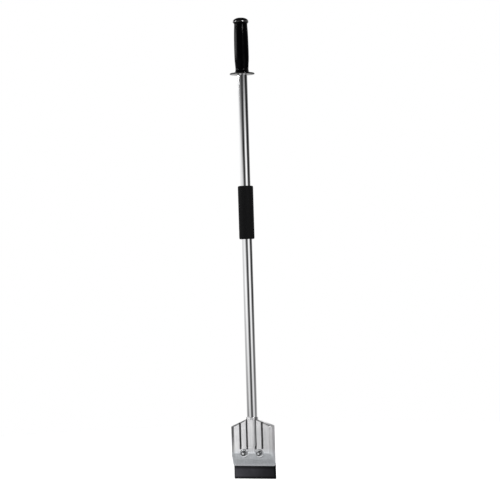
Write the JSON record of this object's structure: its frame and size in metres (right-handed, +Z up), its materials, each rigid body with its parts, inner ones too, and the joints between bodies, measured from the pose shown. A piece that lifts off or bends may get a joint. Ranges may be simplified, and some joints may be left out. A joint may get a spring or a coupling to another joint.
{
  "type": "long-handled ice and floor scraper",
  "caption": "Long-handled scraper for ice and floors: straight tube with a flanged end grip and a foam sleeve, ribbed cast head and a flat clamped blade.",
  "frame": {"origin": "on the handle tube's axis, at the level of the blade's cutting edge", "axes": "+Z up the handle from the cutting edge to the grip, +X along the blade, -Y out of the front of the head where the nuts are"},
  "size_m": [0.103, 0.0578, 1.066],
  "materials": {
    "chrome_tube": "bright chrome plating",
    "vinyl_grip": "glossy black vinyl",
    "foam": "matte black closed-cell foam",
    "cast_aluminium": "satin as-cast, tumbled",
    "blade_steel": "black oxide",
    "zinc_plate": "zinc plated sheet",
    "zinc_fastener": "bright zinc plating",
    "nut_steel": "dark plated steel"
  },
  "bodies": {
    "root": {"handle_tube": "chrome_tube", "top_grip": "vinyl_grip", "foam_sleeve": "foam", "head_casting": "cast_aluminium", "clamp_plate": "zinc_plate", "socket_screw_lower": "zinc_fastener", "socket_screw_upper": "zinc_fastener", "carriage_bolt_left": "zinc_fastener", "flat_washer_left": "zinc_fastener", "spring_washer_left": "zinc_fastener", "clamp_nut_left": "nut_steel", "carriage_bolt_right": "zinc_fastener", "flat_washer_right": "zinc_fastener", "spring_washer_right": "zinc_fastener", "clamp_nut_right": "nut_steel"},
    "blade": {"blade": "blade_steel"}
  },
  "joints": [
    {"name": "blade_slide", "type": "slide", "parent": "root", "child": "blade", "axis": [0, 0, -1], "range_m": [0, 0.046]}
  ]
}
